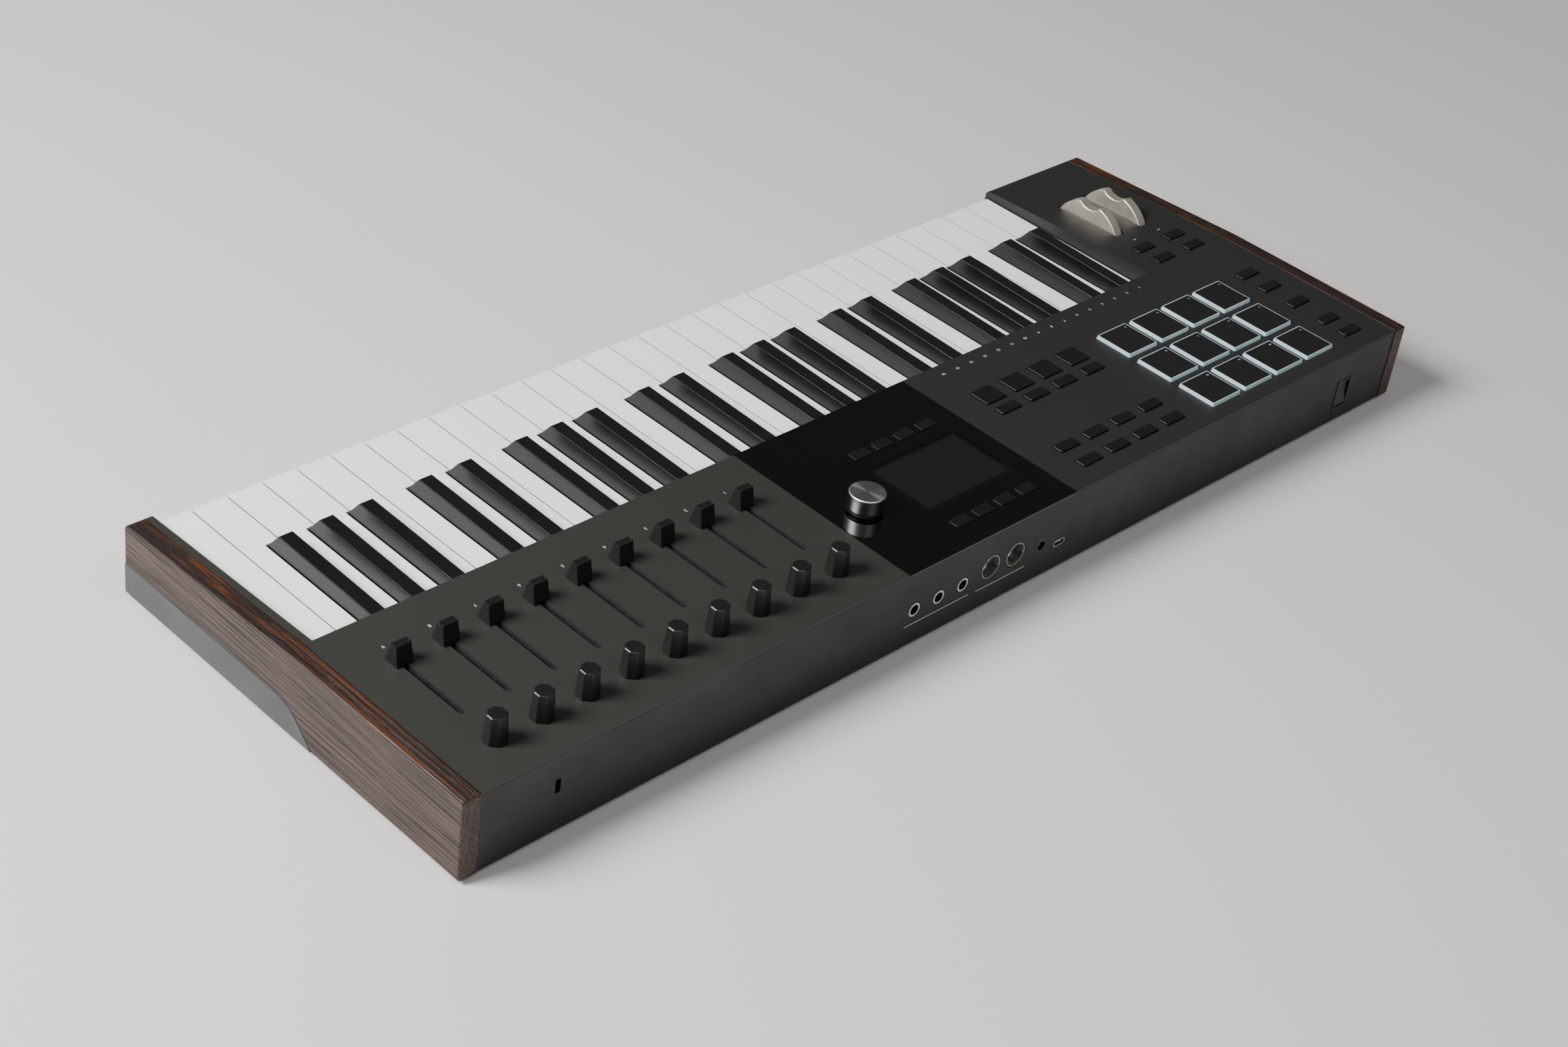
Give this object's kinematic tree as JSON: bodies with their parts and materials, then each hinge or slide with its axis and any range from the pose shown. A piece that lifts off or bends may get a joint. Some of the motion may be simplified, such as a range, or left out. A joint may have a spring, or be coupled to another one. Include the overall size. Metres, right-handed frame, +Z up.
{
  "type": "keyboard synthesizer",
  "caption": "Slim keyboard synthesizer with wood sides, piano keys, hand wheels, a pad grid, transport buttons, a display with a dial, and a bank of faders and knobs.",
  "frame": {"origin": "on the floor, under the middle of the body's length and depth", "axes": "+X towards the treble end, +Y towards the rear panel, +Z up"},
  "size_m": [0.7954, 0.2894, 0.0714],
  "materials": {
    "base_shell": "moulded mid-grey plastic, fine texture",
    "rear_sheet": "black powder coat",
    "olive_panel": "fine matte powder coat, dark olive charcoal",
    "dark_panel": "fine matte powder coat, near black",
    "gloss_panel": "polished black plastic",
    "side_wood": "oiled open-grain hardwood",
    "white_key": "polished moulded plastic",
    "black_key": "satin gloss moulded plastic",
    "control_cap": "satin black moulded plastic",
    "dial_cap": "satin black with a spun metal top",
    "pad_rubber": "black pad face over a translucent skirt",
    "button_cap": "satin black moulded plastic",
    "wheel_finish": "satin champagne finish",
    "screen_glass": "flat cover glass over a dark display",
    "socket_plastic": "black socket moulding",
    "foot_rubber": "black rubber",
    "zinc_steel": "zinc plated",
    "frame_plastic": "glass filled plastic",
    "spring_steel": "drawn spring wire",
    "felt_strip": "pressed wool felt",
    "contact_rubber": "grey silicone rubber",
    "board_laminate": "glass-epoxy board with solder mask"
  },
  "bodies": {
    "case": {"base_shell": "base_shell", "case_screws": "zinc_steel", "circuit_boards": "board_laminate", "contact_strip": "contact_rubber", "display_screen": "screen_glass", "encoder_bodies": "frame_plastic", "fader_tracks": "socket_plastic", "jack_sockets": "socket_plastic", "key_felts": "felt_strip", "key_frame": "frame_plastic", "key_pivot_rod": "zinc_steel", "panel_bass": "dark_panel", "panel_centre": "gloss_panel", "panel_treble": "olive_panel", "power_and_data_inlets": "socket_plastic", "power_switch_body": "socket_plastic", "rear_panel": "rear_sheet", "return_springs": "spring_steel", "round_sockets": "socket_plastic", "rubber_feet": "foot_rubber", "wheel_bracket": "frame_plastic", "wood_side_left": "side_wood", "wood_side_right": "side_wood"},
    "fader_1": {"fader_1": "control_cap"},
    "fader_2": {"fader_2": "control_cap"},
    "fader_3": {"fader_3": "control_cap"},
    "fader_4": {"fader_4": "control_cap"},
    "fader_5": {"fader_5": "control_cap"},
    "fader_6": {"fader_6": "control_cap"},
    "fader_7": {"fader_7": "control_cap"},
    "fader_8": {"fader_8": "control_cap"},
    "fader_9": {"fader_9": "control_cap"},
    "keys_a": {"keys_a": "white_key"},
    "keys_a_sharp": {"keys_a_sharp": "black_key"},
    "keys_b": {"keys_b": "white_key"},
    "keys_c": {"keys_c": "white_key"},
    "keys_c_sharp": {"keys_c_sharp": "black_key"},
    "keys_d": {"keys_d": "white_key"},
    "keys_d_sharp": {"keys_d_sharp": "black_key"},
    "keys_e": {"keys_e": "white_key"},
    "keys_f": {"keys_f": "white_key"},
    "keys_f_sharp": {"keys_f_sharp": "black_key"},
    "keys_g": {"keys_g": "white_key"},
    "keys_g_sharp": {"keys_g_sharp": "black_key"},
    "knob_1": {"knob_1": "control_cap"},
    "knob_2": {"knob_2": "control_cap"},
    "knob_3": {"knob_3": "control_cap"},
    "knob_4": {"knob_4": "control_cap"},
    "knob_5": {"knob_5": "control_cap"},
    "knob_6": {"knob_6": "control_cap"},
    "knob_7": {"knob_7": "control_cap"},
    "knob_8": {"knob_8": "control_cap"},
    "knob_9": {"knob_9": "control_cap"},
    "main_dial": {"main_dial": "dial_cap"},
    "pitch_wheel": {"pitch_wheel": "wheel_finish"},
    "modulation_wheel": {"modulation_wheel": "wheel_finish"},
    "power_rocker": {"power_rocker": "socket_plastic"},
    "pads": {"pads": "pad_rubber"},
    "panel_buttons": {"panel_buttons": "button_cap"},
    "display_buttons": {"display_buttons": "button_cap"}
  },
  "joints": [
    {"name": "fader_1_slide", "type": "slide", "parent": "case", "child": "fader_1", "axis": [0, 1, 0], "range_m": [0, 0.045]},
    {"name": "fader_2_slide", "type": "slide", "parent": "case", "child": "fader_2", "axis": [0, 1, 0], "range_m": [0, 0.045]},
    {"name": "fader_3_slide", "type": "slide", "parent": "case", "child": "fader_3", "axis": [0, 1, 0], "range_m": [0, 0.045]},
    {"name": "fader_4_slide", "type": "slide", "parent": "case", "child": "fader_4", "axis": [0, 1, 0], "range_m": [0, 0.045]},
    {"name": "fader_5_slide", "type": "slide", "parent": "case", "child": "fader_5", "axis": [0, 1, 0], "range_m": [0, 0.045]},
    {"name": "fader_6_slide", "type": "slide", "parent": "case", "child": "fader_6", "axis": [0, 1, 0], "range_m": [0, 0.045]},
    {"name": "fader_7_slide", "type": "slide", "parent": "case", "child": "fader_7", "axis": [0, 1, 0], "range_m": [0, 0.045]},
    {"name": "fader_8_slide", "type": "slide", "parent": "case", "child": "fader_8", "axis": [0, 1, 0], "range_m": [0, 0.045]},
    {"name": "fader_9_slide", "type": "slide", "parent": "case", "child": "fader_9", "axis": [0, 1, 0], "range_m": [0, 0.045]},
    {"name": "keys_a_press", "type": "hinge", "parent": "case", "child": "keys_a", "pos_m": [0, 0.01525, 0.034], "axis": [1, 0, 0], "range_deg": [0, 3.6], "stiffness_Nm_per_rad": 1, "springref_deg": -11.46},
    {"name": "keys_a_sharp_press", "type": "hinge", "parent": "case", "child": "keys_a_sharp", "pos_m": [0, 0.01525, 0.034], "axis": [1, 0, 0], "range_deg": [0, 3.6], "stiffness_Nm_per_rad": 1, "springref_deg": -11.46},
    {"name": "keys_b_press", "type": "hinge", "parent": "case", "child": "keys_b", "pos_m": [0, 0.01525, 0.034], "axis": [1, 0, 0], "range_deg": [0, 3.6], "stiffness_Nm_per_rad": 1, "springref_deg": -11.46},
    {"name": "keys_c_press", "type": "hinge", "parent": "case", "child": "keys_c", "pos_m": [0, 0.01525, 0.034], "axis": [1, 0, 0], "range_deg": [0, 3.6], "stiffness_Nm_per_rad": 1, "springref_deg": -11.46},
    {"name": "keys_c_sharp_press", "type": "hinge", "parent": "case", "child": "keys_c_sharp", "pos_m": [0, 0.01525, 0.034], "axis": [1, 0, 0], "range_deg": [0, 3.6], "stiffness_Nm_per_rad": 1, "springref_deg": -11.46},
    {"name": "keys_d_press", "type": "hinge", "parent": "case", "child": "keys_d", "pos_m": [0, 0.01525, 0.034], "axis": [1, 0, 0], "range_deg": [0, 3.6], "stiffness_Nm_per_rad": 1, "springref_deg": -11.46},
    {"name": "keys_d_sharp_press", "type": "hinge", "parent": "case", "child": "keys_d_sharp", "pos_m": [0, 0.01525, 0.034], "axis": [1, 0, 0], "range_deg": [0, 3.6], "stiffness_Nm_per_rad": 1, "springref_deg": -11.46},
    {"name": "keys_e_press", "type": "hinge", "parent": "case", "child": "keys_e", "pos_m": [0, 0.01525, 0.034], "axis": [1, 0, 0], "range_deg": [0, 3.6], "stiffness_Nm_per_rad": 1, "springref_deg": -11.46},
    {"name": "keys_f_press", "type": "hinge", "parent": "case", "child": "keys_f", "pos_m": [0, 0.01525, 0.034], "axis": [1, 0, 0], "range_deg": [0, 3.6], "stiffness_Nm_per_rad": 1, "springref_deg": -11.46},
    {"name": "keys_f_sharp_press", "type": "hinge", "parent": "case", "child": "keys_f_sharp", "pos_m": [0, 0.01525, 0.034], "axis": [1, 0, 0], "range_deg": [0, 3.6], "stiffness_Nm_per_rad": 1, "springref_deg": -11.46},
    {"name": "keys_g_press", "type": "hinge", "parent": "case", "child": "keys_g", "pos_m": [0, 0.01525, 0.034], "axis": [1, 0, 0], "range_deg": [0, 3.6], "stiffness_Nm_per_rad": 1, "springref_deg": -11.46},
    {"name": "keys_g_sharp_press", "type": "hinge", "parent": "case", "child": "keys_g_sharp", "pos_m": [0, 0.01525, 0.034], "axis": [1, 0, 0], "range_deg": [0, 3.6], "stiffness_Nm_per_rad": 1, "springref_deg": -11.46},
    {"name": "knob_1_turn", "type": "hinge", "parent": "case", "child": "knob_1", "pos_m": [0.11288, 0.1169, 0.062], "axis": [0, 0, 1], "continuous": true},
    {"name": "knob_2_turn", "type": "hinge", "parent": "case", "child": "knob_2", "pos_m": [0.14316, 0.1169, 0.062], "axis": [0, 0, 1], "continuous": true},
    {"name": "knob_3_turn", "type": "hinge", "parent": "case", "child": "knob_3", "pos_m": [0.17344, 0.1169, 0.062], "axis": [0, 0, 1], "continuous": true},
    {"name": "knob_4_turn", "type": "hinge", "parent": "case", "child": "knob_4", "pos_m": [0.20372, 0.1169, 0.062], "axis": [0, 0, 1], "continuous": true},
    {"name": "knob_5_turn", "type": "hinge", "parent": "case", "child": "knob_5", "pos_m": [0.234, 0.1169, 0.062], "axis": [0, 0, 1], "continuous": true},
    {"name": "knob_6_turn", "type": "hinge", "parent": "case", "child": "knob_6", "pos_m": [0.26428, 0.1169, 0.062], "axis": [0, 0, 1], "continuous": true},
    {"name": "knob_7_turn", "type": "hinge", "parent": "case", "child": "knob_7", "pos_m": [0.29456, 0.1169, 0.062], "axis": [0, 0, 1], "continuous": true},
    {"name": "knob_8_turn", "type": "hinge", "parent": "case", "child": "knob_8", "pos_m": [0.32484, 0.1169, 0.062], "axis": [0, 0, 1], "continuous": true},
    {"name": "knob_9_turn", "type": "hinge", "parent": "case", "child": "knob_9", "pos_m": [0.35512, 0.1169, 0.062], "axis": [0, 0, 1], "continuous": true},
    {"name": "main_dial_turn", "type": "hinge", "parent": "case", "child": "main_dial", "pos_m": [0.0572, 0.0843, 0.06], "axis": [0, 0, 1], "continuous": true},
    {"name": "pitch_wheel_turn", "type": "hinge", "parent": "case", "child": "pitch_wheel", "pos_m": [-0.355, -0.07195, 0.0359], "axis": [1, 0, 0], "range_deg": [-40, 40], "stiffness_Nm_per_rad": 0.08},
    {"name": "modulation_wheel_turn", "type": "hinge", "parent": "case", "child": "modulation_wheel", "pos_m": [-0.329, -0.07195, 0.0359], "axis": [1, 0, 0], "range_deg": [-40, 40]},
    {"name": "power_rocker_tip", "type": "hinge", "parent": "case", "child": "power_rocker", "pos_m": [-0.338, 0.13975, 0.023], "axis": [1, 0, 0], "range_deg": [-12, 0]},
    {"name": "pads_press", "type": "slide", "parent": "case", "child": "pads", "axis": [0, 0, -1], "range_m": [0, 0.0006], "stiffness_N_per_m": 1500, "springref_m": -0.002},
    {"name": "panel_buttons_press", "type": "slide", "parent": "case", "child": "panel_buttons", "axis": [0, 0, -1], "range_m": [0, 0.001], "stiffness_N_per_m": 600, "springref_m": -0.002},
    {"name": "display_buttons_press", "type": "slide", "parent": "case", "child": "display_buttons", "axis": [0, 0, -1], "range_m": [0, 0.001], "stiffness_N_per_m": 300, "springref_m": -0.002}
  ]
}
